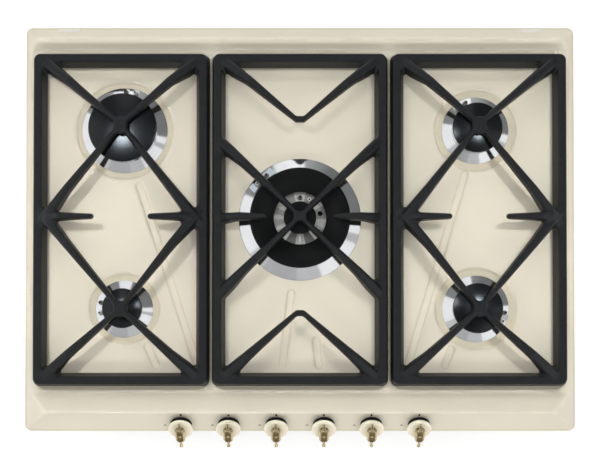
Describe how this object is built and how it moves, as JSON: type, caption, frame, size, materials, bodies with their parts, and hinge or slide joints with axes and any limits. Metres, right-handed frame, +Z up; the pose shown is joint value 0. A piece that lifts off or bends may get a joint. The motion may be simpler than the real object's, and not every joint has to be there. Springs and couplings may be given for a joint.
{
  "type": "gas cooktop",
  "caption": "Built-in gas cooktop with a cream enamelled top, cast-iron pan supports, polished burner collars and brass-lever knobs along the sloping front.",
  "frame": {"origin": "centre of the pressed top, on the worktop plane that the seal rests on", "axes": "+X to the right, +Y to the rear, +Z up, seen by the cook"},
  "size_m": [0.72, 0.5505, 0.104],
  "materials": {
    "cream_enamel": "gloss vitreous enamel",
    "cream_enamel_knob": "gloss",
    "old_brass": "antiqued, satin",
    "zinced_steel": "zinc plated",
    "brass": "machined",
    "cream_plastic": "gloss",
    "foam_rubber": "closed-cell foam",
    "foot_rubber": "matt",
    "gas_steel": "plated tube",
    "aluminium_pipe": "drawn tube",
    "cast_aluminium": "die cast",
    "polished_steel": "polished",
    "white_ceramic": "glazed ceramic",
    "probe_steel": "heat-tinted",
    "grey_plastic": "moulded",
    "white_plastic": "moulded",
    "black_plastic": "moulded",
    "cast_iron": "matt black enamel",
    "black_enamel": "gloss vitreous enamel"
  },
  "bodies": {
    "cooktop": {"top_plate": "cream_enamel", "slot_caps": "cream_plastic", "worktop_seal": "foam_rubber", "under_box": "zinced_steel", "hold_down_clamps": "zinced_steel", "screws": "zinced_steel", "gas_rail": "gas_steel", "gas_inlet_elbow": "brass", "gas_taps": "cast_aluminium", "gas_pipes": "aluminium_pipe", "injectors": "brass", "burner_cups": "cast_aluminium", "burner_collars": "polished_steel", "spark_plugs": "white_ceramic", "thermocouples": "probe_steel", "spark_generator": "grey_plastic", "terminal_block": "white_plastic", "cable_gland": "grey_plastic", "knob_bezels": "black_plastic"},
    "tap_plug_1": {"tap_rotor_1": "brass"},
    "knob_1": {"knob_skirt_1": "cream_enamel_knob", "knob_handle_1": "old_brass", "knob_stem_1": "zinced_steel"},
    "tap_plug_2": {"tap_rotor_2": "brass"},
    "knob_2": {"knob_skirt_2": "cream_enamel_knob", "knob_handle_2": "old_brass", "knob_stem_2": "zinced_steel"},
    "tap_plug_3": {"tap_rotor_3": "brass"},
    "knob_3": {"knob_skirt_3": "cream_enamel_knob", "knob_handle_3": "old_brass", "knob_stem_3": "zinced_steel"},
    "tap_plug_4": {"tap_rotor_4": "brass"},
    "knob_4": {"knob_skirt_4": "cream_enamel_knob", "knob_handle_4": "old_brass", "knob_stem_4": "zinced_steel"},
    "tap_plug_5": {"tap_rotor_5": "brass"},
    "knob_5": {"knob_skirt_5": "cream_enamel_knob", "knob_handle_5": "old_brass", "knob_stem_5": "zinced_steel"},
    "tap_plug_6": {"tap_rotor_6": "brass"},
    "knob_6": {"knob_skirt_6": "cream_enamel_knob", "knob_handle_6": "old_brass", "knob_stem_6": "zinced_steel"},
    "pan_support_left": {"pan_support_left": "cast_iron", "support_feet_left": "foot_rubber"},
    "pan_support_middle": {"pan_support_middle": "cast_iron", "support_feet_middle": "foot_rubber"},
    "pan_support_right": {"pan_support_right": "cast_iron", "support_feet_right": "foot_rubber"},
    "flame_spreader_rear_left": {"flame_spreader_rear_left": "cast_aluminium"},
    "burner_cap_rear_left": {"burner_cap_rear_left": "black_enamel"},
    "flame_spreader_front_left": {"flame_spreader_front_left": "cast_aluminium"},
    "burner_cap_front_left": {"burner_cap_front_left": "black_enamel"},
    "flame_spreader_rear_right": {"flame_spreader_rear_right": "cast_aluminium"},
    "burner_cap_rear_right": {"burner_cap_rear_right": "black_enamel"},
    "flame_spreader_front_right": {"flame_spreader_front_right": "cast_aluminium"},
    "burner_cap_front_right": {"burner_cap_front_right": "black_enamel"},
    "flame_spreader_centre": {"flame_spreader_centre": "cast_aluminium"},
    "burner_cap_centre_outer": {"burner_cap_centre_outer": "black_enamel"},
    "burner_cap_centre_inner": {"burner_cap_centre_inner": "black_enamel"}
  },
  "joints": [
    {"name": "knob_1_turn", "type": "hinge", "parent": "cooktop", "child": "tap_plug_1", "pos_m": [-0.15375, -0.2525, 0.0135], "axis": [0, -0.7071, 0.7071], "range_deg": [0, 215]},
    {"name": "knob_1_push", "type": "slide", "parent": "tap_plug_1", "child": "knob_1", "axis": [0, 0.7071, -0.7071], "range_m": [0, 0.003], "stiffness_N_per_m": 1500, "springref_m": -0.003},
    {"name": "knob_2_turn", "type": "hinge", "parent": "cooktop", "child": "tap_plug_2", "pos_m": [-0.09225, -0.2525, 0.0135], "axis": [0, -0.7071, 0.7071], "range_deg": [0, 215]},
    {"name": "knob_2_push", "type": "slide", "parent": "tap_plug_2", "child": "knob_2", "axis": [0, 0.7071, -0.7071], "range_m": [0, 0.003], "stiffness_N_per_m": 1500, "springref_m": -0.003},
    {"name": "knob_3_turn", "type": "hinge", "parent": "cooktop", "child": "tap_plug_3", "pos_m": [-0.03075, -0.2525, 0.0135], "axis": [0, -0.7071, 0.7071], "range_deg": [0, 215]},
    {"name": "knob_3_push", "type": "slide", "parent": "tap_plug_3", "child": "knob_3", "axis": [0, 0.7071, -0.7071], "range_m": [0, 0.003], "stiffness_N_per_m": 1500, "springref_m": -0.003},
    {"name": "knob_4_turn", "type": "hinge", "parent": "cooktop", "child": "tap_plug_4", "pos_m": [0.03075, -0.2525, 0.0135], "axis": [0, -0.7071, 0.7071], "range_deg": [0, 215]},
    {"name": "knob_4_push", "type": "slide", "parent": "tap_plug_4", "child": "knob_4", "axis": [0, 0.7071, -0.7071], "range_m": [0, 0.003], "stiffness_N_per_m": 1500, "springref_m": -0.003},
    {"name": "knob_5_turn", "type": "hinge", "parent": "cooktop", "child": "tap_plug_5", "pos_m": [0.09225, -0.2525, 0.0135], "axis": [0, -0.7071, 0.7071], "range_deg": [0, 215]},
    {"name": "knob_5_push", "type": "slide", "parent": "tap_plug_5", "child": "knob_5", "axis": [0, 0.7071, -0.7071], "range_m": [0, 0.003], "stiffness_N_per_m": 1500, "springref_m": -0.003},
    {"name": "knob_6_turn", "type": "hinge", "parent": "cooktop", "child": "tap_plug_6", "pos_m": [0.15375, -0.2525, 0.0135], "axis": [0, -0.7071, 0.7071], "range_deg": [0, 215]},
    {"name": "knob_6_push", "type": "slide", "parent": "tap_plug_6", "child": "knob_6", "axis": [0, 0.7071, -0.7071], "range_m": [0, 0.003], "stiffness_N_per_m": 1500, "springref_m": -0.003},
    {"name": "pan_support_left_lift", "type": "slide", "parent": "cooktop", "child": "pan_support_left", "axis": [0, 0, 1], "range_m": [0, 0.08]},
    {"name": "pan_support_middle_lift", "type": "slide", "parent": "cooktop", "child": "pan_support_middle", "axis": [0, 0, 1], "range_m": [0, 0.08]},
    {"name": "pan_support_right_lift", "type": "slide", "parent": "cooktop", "child": "pan_support_right", "axis": [0, 0, 1], "range_m": [0, 0.08]},
    {"name": "flame_spreader_rear_left_lift", "type": "slide", "parent": "cooktop", "child": "flame_spreader_rear_left", "axis": [0, 0, 1], "range_m": [0, 0.0035]},
    {"name": "burner_cap_rear_left_lift", "type": "slide", "parent": "flame_spreader_rear_left", "child": "burner_cap_rear_left", "axis": [0, 0, 1], "range_m": [0, 0.0035]},
    {"name": "flame_spreader_front_left_lift", "type": "slide", "parent": "cooktop", "child": "flame_spreader_front_left", "axis": [0, 0, 1], "range_m": [0, 0.0035]},
    {"name": "burner_cap_front_left_lift", "type": "slide", "parent": "flame_spreader_front_left", "child": "burner_cap_front_left", "axis": [0, 0, 1], "range_m": [0, 0.0035]},
    {"name": "flame_spreader_rear_right_lift", "type": "slide", "parent": "cooktop", "child": "flame_spreader_rear_right", "axis": [0, 0, 1], "range_m": [0, 0.0035]},
    {"name": "burner_cap_rear_right_lift", "type": "slide", "parent": "flame_spreader_rear_right", "child": "burner_cap_rear_right", "axis": [0, 0, 1], "range_m": [0, 0.0035]},
    {"name": "flame_spreader_front_right_lift", "type": "slide", "parent": "cooktop", "child": "flame_spreader_front_right", "axis": [0, 0, 1], "range_m": [0, 0.0035]},
    {"name": "burner_cap_front_right_lift", "type": "slide", "parent": "flame_spreader_front_right", "child": "burner_cap_front_right", "axis": [0, 0, 1], "range_m": [0, 0.0035]},
    {"name": "flame_spreader_centre_lift", "type": "slide", "parent": "cooktop", "child": "flame_spreader_centre", "axis": [0, 0, 1], "range_m": [0, 0.0035]},
    {"name": "burner_cap_centre_outer_lift", "type": "slide", "parent": "flame_spreader_centre", "child": "burner_cap_centre_outer", "axis": [0, 0, 1], "range_m": [0, 0.0035]},
    {"name": "burner_cap_centre_inner_lift", "type": "slide", "parent": "flame_spreader_centre", "child": "burner_cap_centre_inner", "axis": [0, 0, 1], "range_m": [0, 0.0035]}
  ]
}
